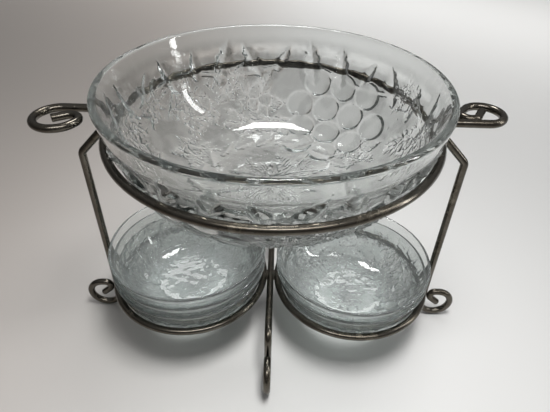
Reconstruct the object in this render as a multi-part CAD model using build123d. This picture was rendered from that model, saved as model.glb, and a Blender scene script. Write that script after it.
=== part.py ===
"""Chip and dip server.

A stand of round bent wire carries a large glass chip bowl in an upper ring, and two nests of small
glass dip bowls in a pair of lower rings. Two side legs and a centre bar end in scroll feet, and two
flat scrolls on the upper ring are the handles. Lengths are in millimetres, +Z is up, and the origin
is on the table under the middle of the stand. +X runs along the pair of lower rings.
"""
import os
from math import atan2, cos, degrees, hypot, radians, sin, tan

from build123d import *

# Wire and welds
wire_diameter = 6.3
wire_end_round = 0.8
weld_gap = 0.2

# Heights of the rings, to the middle of their wire
upper_ring_height = 211.0
dip_ring_height = 48.0

# Chip bowl: its rim stands above the upper ring, and its straight wall ends just below the ring
chip_rim_radius = 127.0
chip_rim_above_ring = 35.0
chip_wall_below_ring = 1.0
chip_wall_angle = 13.0
chip_height = 90.0
chip_base_radius = 50.0
chip_glass = 5.5
chip_floor = 6.5

# Dip bowls, all alike, nested in each lower ring
dip_rim_radius = 70.8
dip_rim_above_ring = 19.0
dip_wall_below_ring = 2.0
dip_wall_angle = 15.0
dip_height = 50.0
dip_base_radius = 30.0
dip_glass = 2.6
dip_floor = 4.0
left_nest = ("bottom", "middle", "top")
right_nest = ("bottom", "top")

# Foot ring and lip of every bowl
foot_ring_width = 5.0
foot_ring_depth = 0.8
lip_round_share = 0.45

# Clearance between glass and wire, and between nested bowls
seat_gap = 0.25
nest_gap = 0.2

# Side legs and centre bar
leg_bend_below_ring = 30.0
leg_bend_radius = 7.0
bar_leg_offset = 72.5
bar_bend_radius = 11.0

# Scroll feet: an open outer turn, a tight inner turn close to the leg and a straight tail
foot_outer_radius = 14.0
foot_inner_radius = 5.0
foot_outer_turn = 270.0
foot_inner_turn = 140.0
foot_tail = 9.5
foot_leg_gap = 0.4

# Handle scrolls, flat on the upper ring: they reach equally far, and each curls in its own way
handle_reach = 51.0
left_handle_outer_radius = 16.6
left_handle_outer_turn = 243.0
left_handle_side_run = 1.6
left_handle_inner_radius = 7.7
left_handle_inner_turn = 147.5
left_handle_tail = 9.9
right_handle_outer_radius = 14.6
right_handle_outer_turn = 230.5
right_handle_side_run = 7.4
right_handle_inner_radius = 6.7
right_handle_inner_turn = 189.5
right_handle_tail = 12.0

# Weld beads
butt_bead_radius = 3.5
cross_bead_radius = 3.0
handle_bead_radius = 2.7
bead_gap = 0.6
seam_bead_radius = 2.3
seam_bead_length = 9.0


def ring_round_bowl(rim_radius, rim_above_ring, wall_angle):
    """Radius, to the middle of its wire, of the ring that a bowl's straight wall rests in."""
    slope = radians(wall_angle)
    return rim_radius - rim_above_ring * tan(slope) + (wire_radius + seat_gap) / cos(slope)


# Sizes that follow from the ones above
wire_radius = wire_diameter / 2
ring_pitch = wire_diameter + weld_gap
upper_ring_radius = ring_round_bowl(chip_rim_radius, chip_rim_above_ring, chip_wall_angle)
dip_ring_radius = ring_round_bowl(dip_rim_radius, dip_rim_above_ring, dip_wall_angle)
chip_rim_height = upper_ring_height + chip_rim_above_ring
dip_rim_height = dip_ring_height + dip_rim_above_ring
dip_centre_x = dip_ring_radius + ring_pitch
leg_x = dip_centre_x + dip_ring_radius + ring_pitch
handle_height = upper_ring_height + ring_pitch
nest_rise = (dip_glass + nest_gap) / sin(radians(dip_wall_angle))

# Drawing planes: a leg's plane seen from the front, and the bar's plane with its front to the right
leg_plane = Plane(origin=(0, 0, 0), x_dir=(1, 0, 0), z_dir=(0, -1, 0))
bar_plane = Plane(origin=(0, 0, 0), x_dir=(0, -1, 0), z_dir=(-1, 0, 0))
half_turn = Rot(0, 0, 180)


def run(length):
    """A straight stretch of wire."""
    return (0.0, length)


def bend(radius, turn):
    """A round bend of the wire: a positive turn goes to the left."""
    return (radius, turn)


def bent_wire(start, heading, steps):
    """Round wire along straight runs and tangent bends, drawn flat, with its far end rounded."""
    point = Vector(*start)
    direction = Vector(cos(radians(heading)), sin(radians(heading)))
    edges = []
    for radius, amount in steps:
        if radius:
            edge = JernArc(point, direction, radius, amount)
        else:
            edge = Line(point, point + direction * amount)
        edges.append(edge)
        point = edge @ 1
        direction = edge % 1
    path = Curve() + edges
    section = Plane(origin=edges[0] @ 0, z_dir=edges[0] % 0) * Circle(wire_radius)
    solid = sweep(section, path)
    cut_face = solid.faces().filter_by(GeomType.PLANE).sort_by_distance(point)[0]
    return fillet(cut_face.edges(), wire_end_round)


def scroll_foot():
    """The steps that curl a leg's foot outwards, back beside the leg and to the middle of the scroll."""
    top_run = foot_outer_radius - foot_inner_radius - wire_diameter - foot_leg_gap
    return [
        bend(foot_outer_radius, foot_outer_turn),
        run(top_run),
        bend(foot_inner_radius, foot_inner_turn),
        run(foot_tail),
    ]


def glass_bowl(rim_radius, height, wall_angle, straight_wall, base_radius, glass, floor):
    """A turned glass bowl with its rim at z = 0: a straight flared wall, a round belly and a foot ring."""
    slope = radians(wall_angle)
    inward = Vector(-cos(slope), sin(slope))
    down_wall = Vector(-sin(slope), -cos(slope))

    rim = Vector(rim_radius, 0)
    shoulder = rim + down_wall * (straight_wall / cos(slope))
    heel = Vector(base_radius, -height)
    chord = shoulder - heel
    belly_radius = -chord.dot(chord) / (2 * chord.dot(inward))
    belly_centre = shoulder + inward * belly_radius

    inner_rim = Vector(rim_radius - glass / cos(slope), 0)
    inner_shoulder = shoulder + inward * glass
    floor_top = -height + floor
    inner_reach = (belly_radius - glass) ** 2 - (belly_centre.Y - floor_top) ** 2
    inner_heel = Vector(belly_centre.X + inner_reach**0.5, floor_top)

    foot_inside = base_radius - foot_ring_width
    foot_top = -height + foot_ring_depth

    outline = [
        Line(rim, shoulder),
        TangentArc(shoulder, heel, tangent=down_wall),
        Polyline(heel, (foot_inside, -height), (foot_inside, foot_top), (0, foot_top), (0, floor_top), inner_heel),
        TangentArc(inner_shoulder, inner_heel, tangent=down_wall),
        Line(inner_shoulder, inner_rim),
        Line(inner_rim, rim),
    ]
    profile = make_face(Curve() + outline)
    bowl = revolve(Plane.XZ * profile, axis=Axis.Z)
    lip_edges = bowl.edges().filter_by(GeomType.CIRCLE).filter_by_position(Axis.Z, -0.01, 0.01)
    return fillet(lip_edges, lip_round_share * glass)


def bead(blob, *wires):
    """Weld metal: a blob of it less the wires that it joins."""
    for piece in wires:
        blob = blob - piece
    return blob


def both_sides(solid):
    """A piece and its twin, half a turn round the middle of the stand."""
    return Compound(children=[Part(solid.wrapped), Part((half_turn * solid).wrapped)])


# Rings
upper_ring = Pos(0, 0, upper_ring_height) * Torus(upper_ring_radius, wire_radius)
dip_ring_right = Pos(dip_centre_x, 0, dip_ring_height) * Torus(dip_ring_radius, wire_radius)
dip_ring_left = half_turn * dip_ring_right

# Side leg: from the underside of the upper ring, out and down past the dip ring to its foot
leg_reach_x = leg_x - upper_ring_radius
leg_bend_height = upper_ring_height - leg_bend_below_ring
leg_heading = degrees(atan2(-leg_bend_below_ring, leg_reach_x))
leg_turn = -90 - leg_heading
leg_bend_tangent = leg_bend_radius * tan(radians(abs(leg_turn) / 2))
leg_start_gap = wire_radius + weld_gap
leg_direction = Vector(cos(radians(leg_heading)), sin(radians(leg_heading)))
leg_ring_point = Vector(upper_ring_radius, upper_ring_height)
leg_start = leg_ring_point + leg_direction * leg_start_gap
foot_centre_height = foot_outer_radius + wire_radius
leg_steps = [
    run(hypot(leg_reach_x, leg_bend_below_ring) - leg_start_gap - leg_bend_tangent),
    bend(leg_bend_radius, leg_turn),
    run(leg_bend_height - leg_bend_tangent - foot_centre_height),
] + scroll_foot()
side_leg_right = leg_plane * bent_wire((leg_start.X, leg_start.Y), leg_heading, leg_steps)
side_leg_left = half_turn * side_leg_right

# Centre bar: one wire between the dip rings, bent down at both ends into the front and back feet
bar_steps = [
    run(bar_leg_offset - bar_bend_radius),
    bend(bar_bend_radius, -90),
    run(dip_ring_height - bar_bend_radius - foot_centre_height),
] + scroll_foot()
front_half = bar_plane * bent_wire((0, dip_ring_height), 0, bar_steps)
centre_bar = front_half + half_turn * front_half

# Bowls
chip_straight_wall = chip_rim_above_ring + chip_wall_below_ring
chip_bowl = Pos(0, 0, chip_rim_height) * glass_bowl(
    chip_rim_radius, chip_height, chip_wall_angle, chip_straight_wall, chip_base_radius, chip_glass, chip_floor
)
dip_straight_wall = dip_rim_above_ring + dip_wall_below_ring
dip_bowl = glass_bowl(
    dip_rim_radius, dip_height, dip_wall_angle, dip_straight_wall, dip_base_radius, dip_glass, dip_floor
)

# Handles: their wires end on top of the ring, clear of the chip bowl and of the welds of the legs
handle_top = handle_height + wire_radius
chip_radius_at_handle = chip_rim_radius - (chip_rim_height - handle_top) * tan(radians(chip_wall_angle))
handle_end_x = chip_radius_at_handle + seat_gap / cos(radians(chip_wall_angle))
handle_bead_x = upper_ring_radius + wire_radius
handle_bead_z = upper_ring_height + wire_radius
beads_apart = butt_bead_radius + handle_bead_radius + bead_gap
beads_apart_in_leg_plane = hypot(handle_bead_x - leg_start.X, handle_bead_z - leg_start.Y)
handle_line_y = max(beads_apart**2 - beads_apart_in_leg_plane**2, 0) ** 0.5


def handle_scroll(outer_radius, outer_turn, side_run, inner_radius, inner_turn, tail):
    """A handle on the left of the stand: a straight run out over the ring, and a scroll that curls in."""
    steps = [
        run(upper_ring_radius + handle_reach - outer_radius - handle_end_x),
        bend(outer_radius, outer_turn),
        run(side_run),
        bend(inner_radius, inner_turn),
        run(tail),
    ]
    return Pos(0, 0, handle_height) * bent_wire((-handle_end_x, handle_line_y), 180, steps)


handle_left = handle_scroll(
    left_handle_outer_radius,
    left_handle_outer_turn,
    left_handle_side_run,
    left_handle_inner_radius,
    left_handle_inner_turn,
    left_handle_tail,
)
handle_right = half_turn * handle_scroll(
    right_handle_outer_radius,
    right_handle_outer_turn,
    right_handle_side_run,
    right_handle_inner_radius,
    right_handle_inner_turn,
    right_handle_tail,
)

# Welds, each cut to the wires that it joins
leg_bead = bead(Pos(leg_start.X, 0, leg_start.Y) * Sphere(butt_bead_radius), upper_ring, side_leg_right)
foot_bead_x = leg_x - ring_pitch / 2
foot_bead = bead(
    Pos(foot_bead_x, 0, dip_ring_height) * Sphere(cross_bead_radius), dip_ring_right, side_leg_right
)
seam_blob = Cylinder(seam_bead_radius, seam_bead_length, rotation=(90, 0, 0))
seam_bead = bead(Pos(ring_pitch / 2, 0, dip_ring_height) * seam_blob, dip_ring_right, centre_bar)
handle_bead = bead(
    Pos(-handle_bead_x, handle_line_y, handle_bead_z) * Sphere(handle_bead_radius), upper_ring, handle_left
)

nodes = {
    "upper_ring": upper_ring,
    "handle_left": handle_left,
    "handle_right": handle_right,
    "side_leg_left": side_leg_left,
    "side_leg_right": side_leg_right,
    "dip_ring_left": dip_ring_left,
    "dip_ring_right": dip_ring_right,
    "centre_bar": centre_bar,
    "leg_welds": both_sides(leg_bead),
    "handle_welds": both_sides(handle_bead),
    "dip_ring_leg_welds": both_sides(foot_bead),
    "dip_ring_bar_welds": both_sides(seam_bead),
    "chip_bowl": chip_bowl,
}
for side, centre_x, nest in (("left", -dip_centre_x, left_nest), ("right", dip_centre_x, right_nest)):
    for level, place in enumerate(nest):
        rim_height = dip_rim_height + level * nest_rise
        nodes[f"dip_bowl_{side}_{place}"] = Pos(centre_x, 0, rim_height) * dip_bowl

os.makedirs("parts", exist_ok=True)
for name, solid in nodes.items():
    export_step(solid, f"parts/{name}.step")

print(f"legs at x = {leg_x:.1f}, dip rings at x = {dip_centre_x:.1f}")
print(f"chip rim at {chip_rim_height:.1f}, its base at {chip_rim_height - chip_height:.1f}")
print(f"lowest dip rim at {dip_rim_height:.1f}, nest rise {nest_rise:.2f}")
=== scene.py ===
# %% [markdown]
# # Chip and dip server
# A stand of dark round wire carries a large pressed glass bowl in its upper ring, and two nests
# of small glass bowls in its lower rings. The frame holds every piece at its real size, in
# metres. This script dresses it: it presses a fruit relief into the glass, gives the wire its
# antique finish, and sets up the table, the light and the camera.

# %% Load the frame
from math import acos, atan2, ceil, cos, pi, radians, sin, sqrt, tan
from typing import NamedTuple

import bpy
from mathutils import Matrix, Vector


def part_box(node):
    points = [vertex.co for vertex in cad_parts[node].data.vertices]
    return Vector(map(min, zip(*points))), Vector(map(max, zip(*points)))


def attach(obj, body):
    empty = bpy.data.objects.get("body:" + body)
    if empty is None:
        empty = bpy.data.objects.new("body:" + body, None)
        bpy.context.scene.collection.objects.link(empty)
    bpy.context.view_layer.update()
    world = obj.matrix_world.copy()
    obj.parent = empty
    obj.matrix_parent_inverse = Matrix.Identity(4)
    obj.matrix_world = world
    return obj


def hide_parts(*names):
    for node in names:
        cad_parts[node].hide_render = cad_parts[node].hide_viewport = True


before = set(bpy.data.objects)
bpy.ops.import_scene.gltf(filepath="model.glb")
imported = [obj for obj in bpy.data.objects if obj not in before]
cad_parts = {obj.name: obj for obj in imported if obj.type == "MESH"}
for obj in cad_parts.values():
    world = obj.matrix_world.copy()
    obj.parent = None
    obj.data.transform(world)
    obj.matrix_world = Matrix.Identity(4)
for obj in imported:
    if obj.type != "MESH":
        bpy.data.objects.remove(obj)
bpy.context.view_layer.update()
MM = 0.001

# %% [markdown]
# ## Node trees written as sums
# The bowls and the finishes are made by node trees. A tree can be wired by hand, one link at a
# time, but a long formula is then hard to read. Here a small class wraps a socket, so that
# `1 - mask` adds the Math node by itself, and one method adds any other node with its settings
# and its sockets.


# %% A socket that does arithmetic
class Socket:
    """A socket of a node tree. A Socket with only a tree is the place to start from."""

    def __init__(self, tree, socket=None):
        self.tree = tree
        self.socket = socket

    def node(self, kind, settings=None, sockets=None, output=0):
        """Adds a node: its settings first, then the values or links of its sockets."""
        node = self.tree.nodes.new(kind)
        for name, value in (settings or {}).items():
            setattr(node, name, value)
        for name, value in (sockets or {}).items():
            if isinstance(value, Socket):
                self.tree.links.new(value.socket, node.inputs[name])
            else:
                node.inputs[name].default_value = value
        return Socket(self.tree, node.outputs[output] if len(node.outputs) else None)

    def out(self, name):
        """Another output of the node that this socket is on."""
        return Socket(self.tree, self.socket.node.outputs[name])

    def parts(self):
        """The X part of a vector. Its out("Y") and out("Z") are the other two."""
        return self.node("ShaderNodeSeparateXYZ", None, {"Vector": self})

    def vector(self, operation, sockets, output=0):
        """A sum on vectors, with this one as the first."""
        settings = {"operation": operation}
        return self.node("ShaderNodeVectorMath", settings, {0: self, **sockets}, output)

    def maths(self, operation, *values):
        sockets = dict(enumerate((self, *values)))
        return self.node("ShaderNodeMath", {"operation": operation}, sockets)

    def __add__(self, other):
        return self.maths("ADD", other)

    def __sub__(self, other):
        return self.maths("SUBTRACT", other)

    def __mul__(self, other):
        return self.maths("MULTIPLY", other)

    def __truediv__(self, other):
        return self.maths("DIVIDE", other)

    def __pow__(self, other):
        return self.maths("POWER", other)

    def __rsub__(self, other):
        return self.node("ShaderNodeMath", {"operation": "SUBTRACT"}, {0: other, 1: self})

    def __rtruediv__(self, other):
        return self.node("ShaderNodeMath", {"operation": "DIVIDE"}, {0: other, 1: self})

    def __abs__(self):
        return self.maths("ABSOLUTE")

    __radd__ = __add__
    __rmul__ = __mul__

    def sine(self):
        return self.maths("SINE")

    def cosine(self):
        return self.maths("COSINE")

    def least(self, other):
        return self.maths("MINIMUM", other)

    def most(self, other):
        return self.maths("MAXIMUM", other)

    def ramp(self, low, high):
        """0 at low, 1 at high, and a smooth step between. It falls where low is the larger."""
        settings = {"interpolation_type": "SMOOTHSTEP"}
        sockets = {"Value": self, "From Min": low, "From Max": high}
        return self.node("ShaderNodeMapRange", settings, sockets)


print("socket arithmetic ready")

# %% [markdown]
# ## Camera
# The photo was taken close by, from the front and well above the table, with a wide lens. The
# camera could be placed by eye. These values were fitted to the rings, legs and handles instead,
# so the same pieces land on the same pixels. The slight roll is the photo's own.


# %% Camera
def add_object(name, data):
    """A new object at the origin, linked into the scene."""
    added = bpy.data.objects.new(name, data)
    bpy.context.collection.objects.link(added)
    return added


image_width = 550
focal_pixels = 470.0
sensor_width = 36.0
nearest_seen = 0.01
camera_target = Vector((0.0026, 0.0, 0.1323))
camera_distance = 0.4017
camera_azimuth = radians(0.37)
camera_elevation = radians(38.02)
camera_roll = radians(1.46)

level = cos(camera_elevation)
across, ahead = sin(camera_azimuth) * level, cos(camera_azimuth) * level
backward = Vector((across, -ahead, sin(camera_elevation)))
level_right = Vector((0, 0, 1)).cross(backward).normalized()
level_up = backward.cross(level_right)
camera_right = level_right * cos(camera_roll) + level_up * sin(camera_roll)
camera_up = level_up * cos(camera_roll) - level_right * sin(camera_roll)
camera_turn = Matrix((camera_right, camera_up, backward)).transposed().to_4x4()
camera_place = Matrix.Translation(camera_target + backward * camera_distance)

camera_data = bpy.data.cameras.new("camera")
camera_data.sensor_width = sensor_width
camera_data.lens = focal_pixels / image_width * sensor_width
camera_data.clip_start = nearest_seen
camera = add_object("camera", camera_data)
camera.matrix_world = camera_place @ camera_turn
bpy.context.scene.camera = camera
print("lens", round(camera_data.lens, 1), "mm, camera at", [round(c, 3) for c in camera.location])

# %% [markdown]
# ## Bowl sections
# Every bowl is a turned form: a straight flared wall, a round belly, a foot ring below and a
# polished inside. It could be a curve with a Screw modifier, but its rows would then be evenly
# spaced. Here one section is worked out from corners and their rounding, so its rows can be
# close together where the relief is pressed in and far apart where the glass is plain.


# %% Bowl sizes
class BowlSize(NamedTuple):
    rim_radius: float
    height: float
    wall_angle: float
    straight_wall: float
    base_radius: float
    glass: float
    floor: float
    row: float


chip_size = BowlSize(
    rim_radius=127 * MM,
    height=90 * MM,
    wall_angle=radians(13),
    straight_wall=36 * MM,
    base_radius=50 * MM,
    glass=5.5 * MM,
    floor=6.5 * MM,
    row=1.3 * MM,
)
dip_size = BowlSize(
    rim_radius=70.8 * MM,
    height=50 * MM,
    wall_angle=radians(15),
    straight_wall=21 * MM,
    base_radius=30 * MM,
    glass=2.6 * MM,
    floor=4 * MM,
    row=0.95 * MM,
)
foot_ring_width = 5 * MM
foot_ring_depth = 0.8 * MM
lip_share = 0.45
heel_blend_share = 0.36
heel_blend_steps = 6
heel_round = 10 * MM
plain_row = 4.5 * MM
foot_row_share = 2
base_row_share = 1.4
for label, size in (("chip bowl", chip_size), ("dip bowl", dip_size)):
    print(label, round(2 * size.rim_radius / MM, 1), "mm across,", size.height / MM, "mm high")


# %% Lines, arcs and rounded corners
def arc_points(centre, start, end, step):
    """Points on the short arc from start to end round centre, about a step apart."""
    first = start - centre
    last = end - centre
    turn = atan2(first.x * last.y - first.y * last.x, first.dot(last))
    count = max(2, ceil(abs(turn) * first.length / step))
    spins = [Matrix.Rotation(turn * i / count, 2) for i in range(count + 1)]
    return [centre + spin @ first for spin in spins]


def line_points(start, end, step):
    count = max(1, ceil((end - start).length / step))
    return [start.lerp(end, i / count) for i in range(count + 1)]


def rounded_corner(before, corner, after, radius, steps=5):
    """The arc that rounds a corner between two straight lines."""
    one = (before - corner).normalized()
    two = (after - corner).normalized()
    half = acos(max(-1, min(1, one.dot(two)))) / 2
    reach = radius / tan(half)
    centre = corner + (one + two).normalized() * (radius / sin(half))
    start = corner + one * reach
    end = corner + two * reach
    return arc_points(centre, start, end, abs(pi - 2 * half) * radius / steps)


print("section tools ready")


# %% Bowl section
def bowl_section(size):
    """Points (radius, height above the rim) and a mark for the wall that takes the relief."""
    slope = size.wall_angle
    inward = Vector((-cos(slope), sin(slope)))
    down_wall = Vector((-sin(slope), -cos(slope)))
    rim = Vector((size.rim_radius, 0))
    shoulder = rim + down_wall * (size.straight_wall / cos(slope))
    heel = Vector((size.base_radius, -size.height))
    chord = shoulder - heel
    belly_radius = -chord.dot(chord) / (2 * chord.dot(inward))
    belly_centre = shoulder + inward * belly_radius

    # The corners of the inside and of the foot.
    inner_rim = Vector((size.rim_radius - size.glass / cos(slope), 0))
    inner_shoulder = shoulder + inward * size.glass
    inner_radius = belly_radius - size.glass
    floor_top = size.floor - size.height
    inner_reach = sqrt(inner_radius ** 2 - (belly_centre.y - floor_top) ** 2)
    inner_heel = Vector((belly_centre.x + inner_reach, floor_top))
    foot_inside = size.base_radius - foot_ring_width
    foot_edge = Vector((foot_inside, -size.height))

    # The outer wall, from the rounded heel up to the lip.
    lip = lip_share * size.glass
    outer_lip = rounded_corner(shoulder, rim, inner_rim, lip)
    inner_lip = rounded_corner(rim, inner_rim, inner_shoulder, lip)
    belly = arc_points(belly_centre, heel, shoulder, size.row)
    heel_rows = rounded_corner(foot_edge, heel, belly[1], heel_round)
    heel_reach = (heel_rows[-1] - heel).length + size.row / 2
    belly = [point for point in belly if (point - heel).length > heel_reach]
    wall = heel_rows + belly + line_points(shoulder, outer_lip[0], size.row)[1:]

    # The polished inside, with a soft bend from the belly to the floor.
    heel_blend = heel_blend_share * size.base_radius
    back_turn = Matrix.Rotation(heel_blend / inner_radius, 2)
    blend_start = belly_centre + back_turn @ (inner_heel - belly_centre)
    blend_end = Vector((inner_heel.x - heel_blend, floor_top))
    inside = line_points(inner_lip[-1], inner_shoulder, plain_row)
    inside += arc_points(belly_centre, inner_shoulder, blend_start, plain_row)[1:]
    for i in range(1, heel_blend_steps):
        share = i / heel_blend_steps
        first = blend_start.lerp(inner_heel, share)
        inside.append(first.lerp(inner_heel.lerp(blend_end, share), share))

    # The underside, hollow within the foot ring.
    underside = []
    base_rows = ceil(foot_inside / (base_row_share * size.row))
    for i in range(base_rows + 1):
        rise = foot_ring_depth * (1 + cos(pi * i / base_rows)) / 2
        underside.append(Vector((foot_inside * i / base_rows, rise - size.height)))
    foot_rows = line_points(foot_edge, heel_rows[0], foot_row_share * size.row)[1:-1]
    floor_rows = line_points(blend_end, Vector((0, floor_top)), plain_row)
    pressed_rows = underside + foot_rows + wall
    plain_rows = outer_lip[1:] + inner_lip + inside[1:] + floor_rows
    return pressed_rows + plain_rows, [1.0] * len(pressed_rows) + [0.0] * len(plain_rows)


for label, size in (("chip bowl", chip_size), ("dip bowl", dip_size)):
    section, marks = bowl_section(size)
    print(label, "section:", len(section), "rows,", int(sum(marks)), "of them pressed")


# %% [markdown]
# ## What is pressed into the glass
# Pressed glass gets its pattern from an iron mould. A panel of vine was cut into the mould and
# repeated round it: a bunch of large grapes, lobed leaves, pointed leaves that reach up to the
# plain collar, a stem, and more leaves below the floor. The relief could be drawn as a picture
# and used as a height map, but its edges would blur. Here only the middle point, the size and
# the turn of each motif are written down, and a formula draws it at full sharpness. They ride
# in the same mesh as the section, as loose points with attributes.


# %% Motif points
class Motif(NamedTuple):
    kind: float
    angle: float
    down: float
    size: float = 0.0
    turn: float = 0.0
    across: float = 0.0


SECTION, GRAPE, LEAF, BLADE, VINE = 0.0, 1.0, 2.0, 3.0, 4.0
grape_pitch, grape_row_pitch = 1.82, 1.62
grape_row_shift, grape_shift_step = 0.12, 5
blade_drop = 0.1
sway_step, sway_start = 2.4, 0.7
vine_waves = 3


def bunch(angle, down, grape, rows):
    """Grapes in rows that hang below each other, each row a little out of line."""
    found = []
    for level, count in enumerate(rows):
        shift = grape_row_shift * sin(grape_shift_step * level)
        for place in range(count):
            across = (place - (count - 1) / 2 + shift) * grape_pitch * grape
            row_down = down + level * grape_row_pitch * grape
            found.append(Motif(GRAPE, angle, row_down, grape, 0.0, across))
    return found


def blades(count, width, down, sizes, turn, sway):
    """Pointed leaves side by side over a panel, in sizes and turns that vary."""
    found = []
    for i in range(count):
        size = sizes[i % len(sizes)]
        angle = width * ((i + 0.5) / count - 0.5)
        lean = radians(turn + sway * sin(sway_step * i + sway_start))
        found.append(Motif(BLADE, angle, down + blade_drop * size, size, lean))
    return found


def vine(width, down, wave, steps=36):
    """The stem of one panel, a wave that runs on into the next panel."""
    angles = [width * (i / steps - 0.5) for i in range(steps + 1)]
    rate = vine_waves * 360 / width
    return [Motif(VINE, x, down - wave * cos(radians(rate * x))) for x in angles]


def lobed(angle, down, size, turn):
    """A lobed leaf: degrees round the panel, mm below the rim, mm of size, degrees of turn."""
    return Motif(LEAF, angle, down * MM, size * MM, radians(turn))


print("motif tools ready")

# %% Panels of both bowls
panel_angle = 180.0
panels = 2
bunch_rows = (3, 4, 3, 2)
chip_motifs = bunch(38, 46 * MM, 14.5 * MM, bunch_rows)
chip_motifs += [
    lobed(-18, 64, 42, -20),
    lobed(-60, 72, 40, 28),
    lobed(4, 34, 21, 35),
    lobed(-40, 38, 22, 150),
    lobed(-84, 42, 26, 160),
    lobed(80, 60, 33, -150),
    lobed(-86, 98, 25, 25),
    lobed(-38, 106, 26, 70),
    lobed(6, 102, 24, -40),
    lobed(76, 102, 23, 10),
    lobed(30, 146, 27, 165),
    lobed(-62, 156, 22, 200),
]
chip_tips = (43 * MM, 26 * MM, 36 * MM, 22 * MM, 39 * MM)
chip_motifs += blades(13, panel_angle, 26 * MM, chip_tips, 180, 30)
chip_motifs += blades(10, panel_angle, 116 * MM, (30 * MM, 24 * MM), 62, 24)
chip_motifs += vine(panel_angle, 37 * MM, 5 * MM)

dip_motifs = bunch(38, 27 * MM, 7.6 * MM, bunch_rows)
dip_motifs += [
    lobed(-18, 37, 24, -25),
    lobed(-60, 42, 22, 28),
    lobed(4, 19, 12, 35),
    lobed(-40, 22, 12, 150),
    lobed(-84, 26, 14, 160),
    lobed(80, 36, 18, -150),
    lobed(-86, 57, 14, 25),
    lobed(-38, 60, 15, 70),
    lobed(6, 58, 13, -40),
    lobed(76, 58, 13, 10),
    lobed(30, 86, 16, 165),
    lobed(-62, 92, 13, 200),
]
dip_motifs += blades(14, panel_angle, 15 * MM, (15 * MM, 12 * MM, 14 * MM), 180, 16)
dip_motifs += blades(9, panel_angle, 67 * MM, (18 * MM, 14 * MM), 62, 24)
dip_motifs += vine(panel_angle, 21 * MM, 3 * MM)
print(len(chip_motifs), "motif points on a chip bowl panel,", len(dip_motifs), "on a dip bowl's")


# %% One mesh with the section and the motifs
def section_mesh(name, size, motifs):
    """The section's points and the motifs' points on it, each with its attributes."""
    section, marks = bowl_section(size)
    top = max(i for i, mark in enumerate(marks) if mark)
    downs = [0.0] * len(section)
    for i in range(top - 1, -1, -1):
        downs[i] = downs[i + 1] + (section[i + 1] - section[i]).length

    points = [(point.x, 0.0, point.y) for point in section]
    ways = [(0.0, 0.0)] * len(section)
    for motif in motifs:
        low = max(i for i in range(top) if downs[i] >= motif.down)
        share = (motif.down - downs[low + 1]) / (downs[low] - downs[low + 1])
        spot = section[low + 1].lerp(section[low], share)
        angle = radians(motif.angle) + motif.across / spot.x
        points.append((spot.x * cos(angle), spot.x * sin(angle), spot.y))
        ways.append((section[low] - section[low + 1]).normalized())
    stem = [len(section) + i for i, motif in enumerate(motifs) if motif.kind == VINE]
    mesh = bpy.data.meshes.new(name)
    mesh.from_pydata(points, list(zip(stem, stem[1:])), [])
    blank = [0.0] * len(section)
    values = {
        "kind": [SECTION] * len(section) + [motif.kind for motif in motifs],
        "down": downs + [motif.down for motif in motifs],
        "press": marks + [0.0] * len(motifs),
        "motif_size": blank + [motif.size for motif in motifs],
        "motif_turn": blank + [motif.turn for motif in motifs],
        "way_out": [way[0] for way in ways],
        "way_up": [way[1] for way in ways],
    }
    for label, numbers in values.items():
        mesh.attributes.new(label, "FLOAT", "POINT").data.foreach_set("value", numbers)
    print(name, "is pressed down to", round(downs[0] / MM, 1), "mm below its rim, along the glass")
    return mesh


# %% [markdown]
# ## Pressing a bowl with Geometry Nodes
# A bowl could be spun from its section and sculpted by hand. Here a node tree does both, so that
# one tree presses a large bowl and a small one from their own sizes. A grid takes its row from
# the section and its column from the angle, and merging closes the seam and the two middles.
# Then every point of the outer wall looks for its nearest grape, leaf and stem, works out how
# high the motif stands there, and the ground between the motifs is pressed in. On the large
# bowl, grapes below the ring and leaf tips above it also stand a little proud.


# %% Reading and storing values on points
def named(sheet, label):
    return sheet.node("GeometryNodeInputNamedAttribute", {"data_type": "FLOAT"}, {"Name": label})


def sampled(geometry, value, index, kind="FLOAT"):
    """The value of one point of a geometry, by its number."""
    sockets = {"Geometry": geometry, "Value": value, "Index": index}
    settings = {"data_type": kind, "domain": "POINT"}
    return geometry.node("GeometryNodeSampleIndex", settings, sockets)


def nearest(geometry, position):
    sockets = {"Geometry": geometry, "Sample Position": position}
    return geometry.node("GeometryNodeSampleNearest", {"domain": "POINT"}, sockets)


def stored(geometry, label, value):
    """The geometry with a value stored on its points under a name."""
    sockets = {"Geometry": geometry, "Name": label, "Value": value}
    settings = {"data_type": "FLOAT", "domain": "POINT"}
    return geometry.node("GeometryNodeStoreNamedAttribute", settings, sockets)


def of_kind(geometry, kind, slack=0.1):
    """The points of one kind, and then all the others."""
    match = named(geometry, "kind").maths("COMPARE", kind, slack)
    sockets = {"Geometry": geometry, "Selection": match}
    return geometry.node("GeometryNodeSeparateGeometry", {"domain": "POINT"}, sockets)


def noise(place, scale, detail=4.0, roughness=0.55):
    sockets = {"Vector": place, "Scale": scale, "Detail": detail, "Roughness": roughness}
    return place.node("ShaderNodeTexNoise", None, sockets, "Fac")


print("point tools ready")


# %% Grapes and stem
def grape_relief(grapes, position):
    """A shallow dome with a narrow edge over the nearest grape, 0 to 1."""
    edge, dome = 0.74, 0.65
    index = nearest(grapes, position)
    centre = sampled(grapes, position, index, "FLOAT_VECTOR")
    apart = position.vector("DISTANCE", {1: centre}, "Value")
    share = apart / sampled(grapes, named(grapes, "motif_size"), index)
    return share.ramp(1.0, edge) * (1.0 - dome * share * share)


def stem_relief(stem, position, radius):
    """A round bead along the stem of the vine, 0 to its own height."""
    stem_height = 0.6
    sockets = {"Geometry": stem, "Sample Position": position}
    apart = stem.node("GeometryNodeProximity", {"target_element": "EDGES"}, sockets, "Distance")
    share = apart / radius
    return (1 - share * share).most(0.0) ** 0.5 * stem_height


print("grapes and stem ready")


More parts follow.
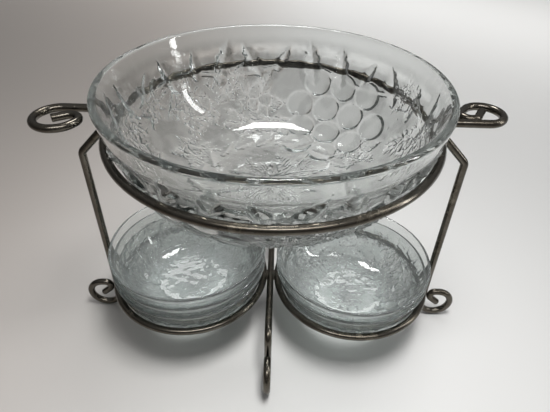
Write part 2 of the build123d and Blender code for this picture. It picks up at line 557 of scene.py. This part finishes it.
# %% Lobed and pointed leaves
def motif_plane(motifs, position):
    """Where a point lies on the drawing of its nearest motif: along and aside, in motif sizes."""
    index = nearest(motifs, position)
    size = sampled(motifs, named(motifs, "motif_size"), index)
    turn = sampled(motifs, named(motifs, "motif_turn"), index)
    way_out = sampled(motifs, named(motifs, "way_out"), index)
    way_up = sampled(motifs, named(motifs, "way_up"), index)
    centre = sampled(motifs, position, index, "FLOAT_VECTOR")
    middle = centre.parts()
    apart = position.vector("SUBTRACT", {1: centre}).parts()
    angle = middle.out("Y").maths("ARCTAN2", middle.out("X"))
    outward = apart * angle.cosine() + apart.out("Y") * angle.sine()
    across = (apart.out("Y") * angle.cosine() - apart * angle.sine()) / size
    below = (outward * way_out + apart.out("Z") * way_up) / size
    along = across * turn.sine() + below * turn.cosine()
    aside = across * turn.cosine() - below * turn.sine()
    return along, aside


def leaf_relief(leaves, position):
    """A lobed leaf with veins that start at its stalk, 0 to about 0.8, and its outline, 0 to 1."""
    stalk, reach_middle, reach_front = 0.55, 0.95, 0.22
    lobe_rate, lobe_reach, lobe_cut = 3.6, 1.18, 0.40
    tooth_rate, tooth = 23.0, 0.06
    notch_start, notch_full, notch_cut = 2.0, 3.1, 0.6
    edge_width, vein_edge, vein_crest = 0.22, 0.08, 0.01
    rib_rate, rib_lag, rib_height = 40.0, 10.0, 0.2
    leaf_height, vein_height = 0.3, 0.6
    along, aside = motif_plane(leaves, position)
    along = along + stalk
    reach = (along * along + aside * aside) ** 0.5
    bearing = aside.maths("ARCTAN2", along)
    lobe = abs((bearing * lobe_rate).sine())
    notch = 1 - abs(bearing).ramp(notch_start, notch_full) * notch_cut
    saw = abs((bearing * tooth_rate).sine()) * tooth
    outline = (bearing.cosine() * reach_front + reach_middle) * notch
    outline = outline * (lobe_reach - lobe_cut * lobe - saw)
    body = (outline - reach).ramp(0.0, edge_width)
    vein = (reach * lobe).ramp(vein_edge, vein_crest)
    ribs = (reach * rib_rate - lobe * rib_lag).sine() * rib_height
    return body * (leaf_height + ribs + vein_height * vein), body


def blade_relief(leaves, position):
    """A long leaf folded along its midrib, 0 to about 1, its outline and its far half, 0 to 1."""
    width, stalk_taper, tip_taper, edge_width = 0.52, 0.6, 0.75, 0.05
    tooth_rate, tooth_slant, tooth = 28.0, 0.4, 0.03
    rib_rate, rib_slant, rib_height = 40.0, 0.9, 0.05
    leaf_height, fold_height, fold_slack, midrib = 0.25, 0.7, 0.02, 0.03
    along, aside = motif_plane(leaves, position)
    place = (along + 0.5).most(0.0).least(1.0)
    half_width = width * place ** stalk_taper * (1 - place) ** tip_taper
    side = abs(aside)
    saw = ((along - side * tooth_slant) * tooth_rate).sine() * tooth
    body = (half_width + saw - side).ramp(0.0, edge_width)
    fold = 1 - (side / (half_width + fold_slack)).least(1.0)
    ribs = ((along - side * rib_slant) * rib_rate).sine() * rib_height
    return body * (leaf_height + ribs + fold_height * fold), body, body * aside.ramp(0.0, midrib)


print("leaves ready")


# %% Turned form and ring of panels
merge_distance = 0.01 * MM
whole_slack = 0.0001


def turned_form(given, index, position):
    """The section's rows set round the axis in columns, closed, and the rows by themselves."""
    rows = of_kind(given, SECTION)
    sockets = {"Geometry": rows}
    row_count = rows.node("GeometryNodeAttributeDomainSize", {"component": "MESH"}, sockets)
    columns = given.out("Columns")
    sockets = {"Vertices X": columns + 1, "Vertices Y": row_count}
    grid = given.node("GeometryNodeMeshGrid", None, sockets)
    column = (index / row_count + whole_slack).maths("FLOOR")
    row = index - column * row_count
    spot = sampled(rows, position, row, "FLOAT_VECTOR").parts()
    angle = column * (2 * pi) / columns
    sockets = {"X": spot * angle.cosine(), "Y": spot * angle.sine(), "Z": spot.out("Z")}
    turned = spot.node("ShaderNodeCombineXYZ", None, sockets)
    bowl = grid.node("GeometryNodeSetPosition", None, {"Geometry": grid, "Position": turned})
    for label in ("down", "press"):
        bowl = stored(bowl, label, sampled(rows, named(rows, label), row))
    sockets = {"Geometry": bowl, "Distance": merge_distance}
    return bowl.node("GeometryNodeMergeByDistance", None, sockets), rows


def motif_ring(given, index, panel):
    """The motifs of one panel, repeated round the axis."""
    panels = given.out("Panels")
    hubs = given.node("GeometryNodePoints", None, {"Count": panels})
    twist = given.node("ShaderNodeCombineXYZ", None, {"Z": index * (2 * pi) / panels})
    sockets = {"Points": hubs, "Instance": panel, "Rotation": twist}
    motifs = hubs.node("GeometryNodeInstanceOnPoints", None, sockets)
    return motifs.node("GeometryNodeRealizeInstances", None, {"Geometry": motifs})


print("turned form and ring of panels ready")


# %% Heights and zones
class Heights(NamedTuple):
    """How high the motifs stand at a point, and the outlines of the leaves."""

    grape: Socket
    raised: Socket
    relief: Socket
    leaf_body: Socket
    blade: Socket
    blade_body: Socket
    blade_half: Socket


class Zones(NamedTuple):
    """Which part of the bowl a point is on, 0 to 1 for each part."""

    below_collar: Socket
    pressed: Socket
    upper: Socket
    wall: Socket


def motif_heights(motifs, position, stem_radius):
    grape = grape_relief(of_kind(motifs, GRAPE), position)
    leaf, leaf_body = leaf_relief(of_kind(motifs, LEAF), position)
    blade, blade_body, blade_half = blade_relief(of_kind(motifs, BLADE), position)
    stem = stem_relief(of_kind(motifs, VINE), position, stem_radius)
    raised = leaf.most(blade).most(stem)
    relief = grape.most(raised)
    return Heights(grape, raised, relief, leaf_body, blade, blade_body, blade_half)


def bowl_zones(given, bowl, position):
    foot_share = 0.4
    wall_start, wall_full = 0.85, 1.15
    upper_start, upper_full = 0.5, 0.6
    down = named(bowl, "down")
    press = named(bowl, "press")
    collar, full = given.out("Collar"), given.out("Full depth")
    below_collar = down.ramp(collar, full)
    from_foot = abs(down - given.out("Foot")).ramp(0.0, given.out("Foot fade"))
    from_foot = from_foot * (1 - foot_share) + foot_share
    upper = press * down.ramp(collar * upper_start, full * upper_full)
    spot = position.parts()
    from_axis = (spot * spot + spot.out("Y") * spot.out("Y")) ** 0.5
    floor = given.out("Floor radius")
    wall = from_axis.ramp(floor * wall_start, floor * wall_full)
    return Zones(below_collar, press * below_collar * from_foot, upper, wall)


print("heights and zones ready")


# %% Marks for the glass, and the pressing itself
bulge_fade = 12 * MM
deep_end, deep_full = 2.9, 1.8
tip_end = 1.25


def marked_for_glass(given, bowl, heights, zones):
    """Stores where the glass is veined, how much painted shade greys it, and where the wall is."""
    plain_veins, blade_veins, smooth_grape, grape_shine = 0.06, 0.1, 0.4, 0.35
    ground_shade, motif_clear, tip_shade, tip_clear = 0.9, 0.6, 0.55, 0.4
    leafy = heights.leaf_body.most(heights.blade_body * blade_veins)
    leafy = plain_veins + (1 - plain_veins) * leafy
    floor_veins = given.out("Floor veins")
    veined = zones.pressed * (1 - heights.grape.ramp(0.0, smooth_grape)) * leafy
    veined = veined * (floor_veins + (1 - floor_veins) * zones.wall)
    # Painted shade: grey on the ground and on one half of each pointed leaf, lighter on the raised
    # motifs, with a painted highlight rim round each grape.
    painted_grape_rim = heights.grape.ramp(0.0, 0.1) * heights.grape.ramp(0.5, 0.3)
    bright = heights.raised.most(painted_grape_rim).most(grape_shine * heights.grape).least(1.0)
    shaded_tips = heights.blade_half.most(tip_shade - tip_clear * heights.relief)
    painted_shade = zones.pressed * (ground_shade - motif_clear * bright)
    painted_shade = painted_shade.most(zones.upper * shaded_tips)
    for label, value in (("veined", veined), ("painted_shade", painted_shade), ("wall", zones.wall)):
        bowl = stored(bowl, label, value)
    return bowl


def pressed_in(given, bowl, heights, zones, position):
    """Moves the ground between the motifs in, and some grapes and leaf tips out."""
    down = named(bowl, "down")
    full, bulge_start = given.out("Full depth"), given.out("Bulge start")
    ground_ripple, motif_calm = 0.5, 0.3
    ripple = noise(position, given.out("Ripple scale"), 2.0, 0.5) - 0.5
    height = heights.relief + ripple * (ground_ripple - motif_calm * heights.relief)
    under_collar = zones.below_collar * down.ramp(full * deep_end, full * deep_full)
    depth = given.out("Relief depth") + given.out("Collar relief") * under_collar
    inset = depth * zones.pressed * (height - 1).least(0.0)
    below_ring = down.ramp(bulge_start, bulge_start + bulge_fade)
    inset = inset + given.out("Grape bulge") * below_ring * heights.grape * zones.pressed
    above_ring = zones.upper * down.ramp(full * tip_end, full)
    inset = inset + given.out("Tip bulge") * above_ring * heights.blade
    offset = bowl.node("GeometryNodeInputNormal").vector("SCALE", {"Scale": inset})
    return bowl.node("GeometryNodeSetPosition", None, {"Geometry": bowl, "Offset": offset})


print("pressing ready")

# %% Tree of the pressed bowl
tree_inputs = {
    "Geometry": ("Section",),
    "Int": ("Columns", "Panels"),
    "Float": (
        "Relief depth",
        "Collar relief",
        "Collar",
        "Full depth",
        "Foot",
        "Foot fade",
        "Bulge start",
        "Grape bulge",
        "Tip bulge",
        "Stem radius",
        "Ripple scale",
        "Floor radius",
        "Floor veins",
    ),
    "Material": ("Glass",),
}


def pressed_bowl_tree():
    tree = bpy.data.node_groups.new("pressed_bowl", "GeometryNodeTree")
    tree.interface.new_socket("Bowl", in_out="OUTPUT", socket_type="NodeSocketGeometry")
    for kind, labels in tree_inputs.items():
        for label in labels:
            tree.interface.new_socket(label, in_out="INPUT", socket_type="NodeSocket" + kind)
    given = Socket(tree).node("NodeGroupInput")
    index = given.node("GeometryNodeInputIndex")
    position = given.node("GeometryNodeInputPosition")

    bowl, rows = turned_form(given, index, position)
    motifs = motif_ring(given, index, rows.out("Inverted"))
    heights = motif_heights(motifs, position, given.out("Stem radius"))
    zones = bowl_zones(given, bowl, position)
    bowl = marked_for_glass(given, bowl, heights, zones)
    bowl = pressed_in(given, bowl, heights, zones, position)
    bowl = bowl.node("GeometryNodeSetShadeSmooth", None, {"Geometry": bowl})
    bowl = bowl.node("GeometryNodeRealizeInstances", None, {"Geometry": bowl})
    sockets = {"Geometry": bowl, "Material": given.out("Glass")}
    bowl = bowl.node("GeometryNodeSetMaterial", None, sockets)
    bowl.node("NodeGroupOutput", None, {"Bowl": bowl})
    return tree


bowl_tree = pressed_bowl_tree()
print("pressed bowl tree:", len(bowl_tree.nodes), "nodes")

# %% [markdown]
# ## Glass
# The bowls are clear soda glass with a faint blue-green cast that shows at the rims and where
# several bowls stand in each other. A tinted surface would colour every bowl alike. Light that
# is absorbed along its way through the glass gives more colour where the glass is thick, which
# is what the eye knows from glass. The mould also left a net of fine veins on the leaves, which
# is too fine for the mesh and is a bump here, as are the slow waves of the floor. The ground
# between the motifs looks darker, because it bends the light away. The mesh does part of that,
# and painted shade, a grey tint on the ground and on one half of each pointed leaf, does the
# rest; it is lighter on the raised motifs, and the veins and grape rims are painted highlights.
# Glass throws a light shadow, so shadow rays pass through it with a plain tint, which is darker
# for the wall, because they cross it at a slant.


# %% Tools of the finishes
def mixed(factor, first, second):
    """A colour between two others."""
    sockets = {0: factor, 6: first, 7: second}
    return factor.node("ShaderNodeMix", {"data_type": "RGBA"}, sockets, 2)


def new_finish(name):
    """A material with an empty tree, and its Object coordinates to start from."""
    material = bpy.data.materials.new(name)
    material.use_nodes = True
    material.node_tree.nodes.clear()
    return material, Socket(material.node_tree).node("ShaderNodeTexCoord", output="Object")


def mark(place, label):
    """A value that the bowl's tree stored on the mesh."""
    return place.node("ShaderNodeAttribute", {"attribute_name": label}, output="Fac")


def vein_net(place, scale, width):
    """A net of lines: 1 on a line, falling to 0 beside it."""
    settings = {"feature": "DISTANCE_TO_EDGE"}
    sockets = {"Vector": place, "Scale": scale}
    return place.node("ShaderNodeTexVoronoi", settings, sockets, "Distance").ramp(width, 0.0)


print("finish tools ready")


# %% Glass finishes
class GlassLook(NamedTuple):
    clear_share: float
    tint: tuple
    density: float
    wall_shadow: tuple
    floor_shadow: tuple
    vein_scale: float
    vein_height: float
    wave_share: float
    painted_shade_grey: tuple


clear_colour = (0.945, 0.958, 0.952, 1.0)
glass_index = 1.5
polish, haze_roughness = 0.012, 0.05
smear_scale, haze_scale = 70.0, 14.0
bend_scale, vein_bend = 0.4, 1.6
vein_width, fine_width = 0.14, 0.16
fine_scale, fine_share = 2.4, 0.4
wave_scale, patch_scale, patch_share = 0.75, 0.7, 0.25
vein_shine = 0.85


def glass_finish(name, look):
    material, place = new_finish(name)
    scale = look.vein_scale
    smear = noise(place, smear_scale, 3.0).ramp(0.45, 0.75)
    haze = smear * noise(place, haze_scale, 2.0).ramp(0.45, 0.7)
    sockets = {"Vector": place, "Scale": scale * bend_scale, "Detail": 2.0}
    bend = place.node("ShaderNodeTexNoise", None, sockets, "Color")
    bent = bend.vector("MULTIPLY_ADD", {1: (vein_bend / scale,) * 3, 2: place})
    fine = vein_net(bent, fine_scale * scale, fine_width)
    veins = (vein_net(bent, scale, vein_width) + fine_share * fine) * mark(place, "veined")
    wall = mark(place, "wall")
    waves = noise(place, wave_scale * scale, 1.0) * (1 - wall) * look.wave_share
    # Painted shade: the grey tint stored on the ground, broken into random patches and kept off
    # the veins, which read as painted highlights.
    patches = noise(bent, patch_scale * scale, 1.0).ramp(0.44, 0.60)
    shade = mark(place, "painted_shade") * (1 - patch_share + patch_share * patches)
    shade = shade * (1 - vein_shine * veins.least(1.0))
    bump = {"Height": veins + waves, "Strength": 1.0, "Distance": look.vein_height}
    sockets = {
        "Base Color": mixed(shade, clear_colour, look.painted_shade_grey),
        "Roughness": polish + haze_roughness * haze,
        "IOR": glass_index,
        "Transmission Weight": look.clear_share,
        "Normal": place.node("ShaderNodeBump", None, bump),
    }
    surface = place.node("ShaderNodeBsdfPrincipled", None, sockets)
    shadow = place.node("ShaderNodeLightPath", output="Is Shadow Ray")
    for factor, colour in ((shadow, look.floor_shadow), (shadow * wall, look.wall_shadow)):
        through = place.node("ShaderNodeBsdfTransparent", None, {"Color": colour})
        surface = place.node("ShaderNodeMixShader", None, {0: factor, 1: surface, 2: through})
    sockets = {"Color": look.tint, "Density": look.density}
    volume = place.node("ShaderNodeVolumeAbsorption", None, sockets)
    place.node("ShaderNodeOutputMaterial", None, {"Surface": surface, "Volume": volume})
    return material


chip_look = GlassLook(
    clear_share=1.0,
    tint=(0.76, 0.88, 0.84, 1.0),
    density=8.0,
    wall_shadow=(0.96, 0.962, 0.962, 1.0),
    floor_shadow=(0.96, 0.962, 0.962, 1.0),
    vein_scale=80.0,
    vein_height=0.55 * MM,
    wave_share=0.12,
    painted_shade_grey=(0.22, 0.23, 0.22, 1.0),
)
dip_look = GlassLook(
    clear_share=0.91,
    tint=(0.68, 0.89, 0.83, 1.0),
    density=10.0,
    wall_shadow=(0.52, 0.54, 0.53, 1.0),
    floor_shadow=(0.93, 0.935, 0.935, 1.0),
    vein_scale=150.0,
    vein_height=0.6 * MM,
    wave_share=0.45,
    painted_shade_grey=(0.58, 0.64, 0.63, 1.0),
)
chip_glass = glass_finish("chip_glass_clear", chip_look)
dip_glass = glass_finish("dip_glass_clear", dip_look)
print("glass finishes:", chip_glass.name, dip_glass.name)

# %% [markdown]
# ## The six bowls
# Each bowl replaces its plain solid of the frame, at the same place. The dip bowls come from one
# mould. They could be linked copies of one object, but the export wants each bowl's place in its
# own mesh, so the pressed mesh is copied, and each copy is turned by a different angle, as bowls
# are when they are stacked.


# %% Press the bowls
def press(name, size, motifs, inputs):
    """Runs the tree on a section. The finished mesh has its rim's middle at the origin."""
    blank = add_object(name, section_mesh(name, size, motifs))
    modifier = blank.modifiers.new("press", "NODES")
    modifier.node_group = bowl_tree
    items = bowl_tree.interface.items_tree
    names = {item.name: item.identifier for item in items if item.in_out == "INPUT"}
    for label, value in inputs.items():
        modifier[names[label]] = value
    bpy.context.view_layer.update()
    depsgraph = bpy.context.evaluated_depsgraph_get()
    mesh = bpy.data.meshes.new_from_object(blank.evaluated_get(depsgraph))
    bpy.data.objects.remove(blank)
    for label in ("down", "press"):
        mesh.attributes.remove(mesh.attributes[label])
    return mesh


chip_inputs = {
    "Columns": 550,
    "Panels": panels,
    "Relief depth": 1.5 * MM,
    "Collar relief": 1.9 * MM,
    "Collar": 10 * MM,
    "Full depth": 25 * MM,
    "Foot": 125 * MM,
    "Foot fade": 18 * MM,
    "Bulge start": 44 * MM,
    "Grape bulge": 1.2 * MM,
    "Tip bulge": 1.5 * MM,
    "Stem radius": 2.4 * MM,
    "Ripple scale": 120.0,
    "Glass": chip_glass,
    "Floor veins": 0.25,
    "Floor radius": 70 * MM,
}
dip_inputs = {
    "Columns": 360,
    "Panels": panels,
    "Relief depth": 1.5 * MM,
    "Collar relief": 0.3 * MM,
    "Collar": 10 * MM,
    "Full depth": 22 * MM,
    "Foot": 75 * MM,
    "Foot fade": 8 * MM,
    "Bulge start": 0.0,
    "Grape bulge": 0.0,
    "Tip bulge": 0.0,
    "Stem radius": 1.5 * MM,
    "Ripple scale": 210.0,
    "Glass": dip_glass,
    "Floor veins": 1.0,
    "Floor radius": 44 * MM,
}
chip_mesh = press("chip_bowl_pressed", chip_size, chip_motifs, chip_inputs)
dip_mesh = press("dip_bowl_pressed", dip_size, dip_motifs, dip_inputs)
for mesh in (chip_mesh, dip_mesh):
    print(mesh.name, len(mesh.polygons), "faces")

# %% Set the bowls in the stand
bowl_places = (
    ("chip_bowl", "chip_bowl", 18.0),
    ("dip_bowl_left_bottom", "dip_left_bottom", 10.0),
    ("dip_bowl_left_middle", "dip_left_middle", 71.0),
    ("dip_bowl_left_top", "dip_left_top", 138.0),
    ("dip_bowl_right_bottom", "dip_right_bottom", 47.0),
    ("dip_bowl_right_top", "dip_right_top", 95.0),
)
nests = bpy.data.collections.new("nests")
for node, body, turn_degrees in bowl_places:
    low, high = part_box(node)
    chip = node == "chip_bowl"
    mesh = (chip_mesh if chip else dip_mesh).copy()
    middle = Vector(((low[0] + high[0]) / 2, (low[1] + high[1]) / 2, high[2]))
    mesh.transform(Matrix.Translation(middle) @ Matrix.Rotation(radians(turn_degrees), 4, "Z"))
    bowl = add_object(node + "_pressed", mesh)
    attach(bowl, body)
    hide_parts(node)
    if not chip:
        nests.objects.link(bowl)
    print(bowl.name, "rim at", round(high[2] / MM, 1), "mm")

# %% [markdown]
# ## Antique wire
# The stand is bent from round steel wire with a dark pewter plating. Handling has rubbed it
# brighter in places, and tarnish has settled in soft brown clouds and small dark specks. The
# wires of the frame already have the right round shape, so they stay. Their finish could be one
# dark colour, but noise at several scales shows where the plating is worn.


# %% Wire and weld finishes
plating, tarnished = (0.130, 0.118, 0.100, 1.0), (0.066, 0.056, 0.043, 1.0)
rubbed, soot = (0.27, 0.245, 0.20, 1.0), (0.030, 0.025, 0.020, 1.0)
cloud_scale, rub_scale, speck_scale = 38.0, 120.0, 640.0
smooth_metal, tarnish_roughness, grain_roughness = 0.13, 0.12, 0.06


def pewter_finish(name, grain_scale, grain_height, rub):
    """Dark plating with rubbed metal, brown tarnish clouds, specks and a fine drawn grain."""
    material, place = new_finish(name)
    cloud = noise(place, cloud_scale)
    patch = noise(place, rub_scale, 5.0, 0.6)
    speck = noise(place, speck_scale, 2.0)
    grain = noise(place, grain_scale, 3.0)
    tarnish = (cloud * 0.6 + patch * 0.4).ramp(0.42, 0.62)
    bare = (patch * 0.5 + cloud * 0.5).ramp(0.5, 0.72) * rub
    dark = speck.ramp(0.62, 0.72)
    metal = mixed(tarnish, plating, tarnished)
    metal = mixed(bare, metal, rubbed)
    metal = mixed(dark * 0.7, metal, soot)
    height = grain + dark * -0.4 + patch * 0.6
    bump = {"Height": height, "Strength": 0.5, "Distance": grain_height}
    sockets = {
        "Base Color": metal,
        "Metallic": 1 - dark * 0.5,
        "Roughness": smooth_metal + tarnish_roughness * tarnish + grain_roughness * grain,
        "Normal": place.node("ShaderNodeBump", None, bump),
    }
    surface = place.node("ShaderNodeBsdfPrincipled", None, sockets)
    place.node("ShaderNodeOutputMaterial", None, {"Surface": surface})
    return material


wire_finish = pewter_finish("antique_pewter_wire", 900.0, 0.12 * MM, 0.6)
weld_finish = pewter_finish("antique_pewter_weld", 420.0, 0.5 * MM, 0.3)
wirework = bpy.data.collections.new("wirework")
for node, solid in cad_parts.items():
    if "bowl" in node:
        continue
    for slot in solid.material_slots:
        slot.material = weld_finish if node.endswith("welds") else wire_finish
    wirework.objects.link(solid)

# %% [markdown]
# ## Table
# The table is a plain pale surface that is greyer on its left, where less light falls. The
# lamps give part of that, and painted shade, a tone mixed across the plane, gives the rest. It
# could be a curved paper sweep. A large plane does as well at this steep angle.


# %% Pale table
shaded_left_tone, lit_right_tone = (0.53, 0.485, 0.45, 1.0), (0.72, 0.715, 0.70, 1.0)
tone_start, tone_end, tone_slant = -0.42, 0.12, 0.06
mottle_scale, mottle = 6.0, 0.06
table_reach = 4.0
table_drop = 0.2 * MM


def table_finish():
    material, place = new_finish("pale_table")
    spot = place.parts()
    # Painted shade: the table's tone falls off towards the left and a little towards the back, as
    # the light does.
    painted_light_side = (spot - spot.out("Y") * tone_slant).ramp(tone_start, tone_end)
    shade = noise(place, mottle_scale, 3.0) * mottle - mottle / 2
    tone = mixed((painted_light_side + shade).most(0.0), shaded_left_tone, lit_right_tone)
    sockets = {"Base Color": tone, "Roughness": 0.6}
    surface = place.node("ShaderNodeBsdfPrincipled", None, sockets)
    place.node("ShaderNodeOutputMaterial", None, {"Surface": surface})
    return material


table_mesh = bpy.data.meshes.new("table")
corners = ((-1, -1), (1, -1), (1, 1), (-1, 1))
corners = [(x * table_reach, y * table_reach, -table_drop) for x, y in corners]
table_mesh.from_pydata(corners, [], [(0, 1, 2, 3)])
table_mesh.materials.append(table_finish())
table = add_object("table", table_mesh)
print("table", 2 * table_reach, "m wide")

# %% [markdown]
# ## Light and room
# The room has soft light from above and a window on the right. One bright sky could light it
# all, but clear glass then has nothing dark to bend and looks flat. So two soft lamps light the
# table, and the sky is brighter above than at the horizon. The other lamps are only seen
# mirrored: a skylight and a window in all the glass and wire, a soft one along the wires, and
# three over the nests, for the glints on the floors of the small bowls.


# %% Lamps
def soft_lamp(name, place, aim, size, watts, mirrored, lean=0.0, spread=180.0, only=None):
    """A rectangular lamp. It either lights the table, or is mirrored in glass and wire."""
    data = bpy.data.lights.new(name, "AREA")
    data.shape = "RECTANGLE"
    data.size, data.size_y = size
    data.energy = watts
    data.spread = radians(spread)
    lamp = add_object(name, data)
    lamp.location = place
    facing = (Vector(aim) - Vector(place)).to_track_quat("-Z", "Y").to_matrix()
    lamp.rotation_euler = (facing @ Matrix.Rotation(radians(lean), 3, "Z")).to_euler()
    lamp.light_linking.receiver_collection = only
    lamp.visible_diffuse = not mirrored
    lamp.visible_glossy = mirrored
    lamp.visible_transmission = mirrored


object_middle = (0.0, 0.0, 0.12)
left_nest, right_nest = (-0.08, 0.0, 0.04), (0.08, 0.0, 0.04)
glint, glint_watts = (0.22, 0.14), 0.38
soft_lamp("ceiling", (0.10, -0.10, 0.80), (0, -0.10, 0), (0.34, 0.20), 2.35, False, spread=110)
soft_lamp("backdrop", (0.32, 1.30, 1.0), (0.28, 1.25, 0), (2.4, 0.3), 9.6, False, spread=120)
soft_lamp("glint_left", (-0.40, 1.10, 1.13), left_nest, glint, glint_watts, True, only=nests)
soft_lamp("glint_right", (0.31, 1.10, 1.08), right_nest, glint, glint_watts, True, only=nests)
soft_lamp("overhead", (0.2, -0.1, 1.2), object_middle, (0.7, 0.5), 9.0, True, only=nests)
soft_lamp("front", (0.10, -0.75, 1.25), object_middle, (1.2, 0.25), 9.0, True, only=wirework)
soft_lamp("skylight", (0.0, 0.42, 1.15), object_middle, (0.22, 0.32), 4.2, True)
soft_lamp("window", (1.05, -0.09, 0.73), (0, -0.09, 0.4), (0.08, 1.06), 4.0, True, lean=-11)

# %% Sky
horizon_tone, zenith_tone = (0.10, 0.097, 0.094, 1.0), (0.30, 0.303, 0.305, 1.0)
window_side = 0.25
world = bpy.data.worlds.new("room")
bpy.context.scene.world = world
world.use_nodes = True
world.node_tree.nodes.clear()
sky = Socket(world.node_tree).node("ShaderNodeTexCoord", output="Generated")
sky_spot = sky.parts()
upward = (sky_spot.out("Z") + sky_spot * window_side).ramp(-0.1, 0.9)
sky_tone = mixed(upward, horizon_tone, zenith_tone)
sky_light = sky.node("ShaderNodeBackground", None, {"Color": sky_tone, "Strength": 1.0})
sky.node("ShaderNodeOutputWorld", None, {"Surface": sky_light})
print("sky:", world.name)

# %% [markdown]
# ## Render settings
# A look through two nested bowls crosses many glass surfaces, so light gets more bounces than
# usual.

# %% Settings
scene = bpy.context.scene
scene.view_settings.view_transform = "Standard"
glass_bounces = 24
scene.cycles.max_bounces = glass_bounces
scene.cycles.transmission_bounces = glass_bounces
scene.cycles.glossy_bounces = 8
scene.cycles.caustics_refractive = False
scene.cycles.caustics_reflective = False
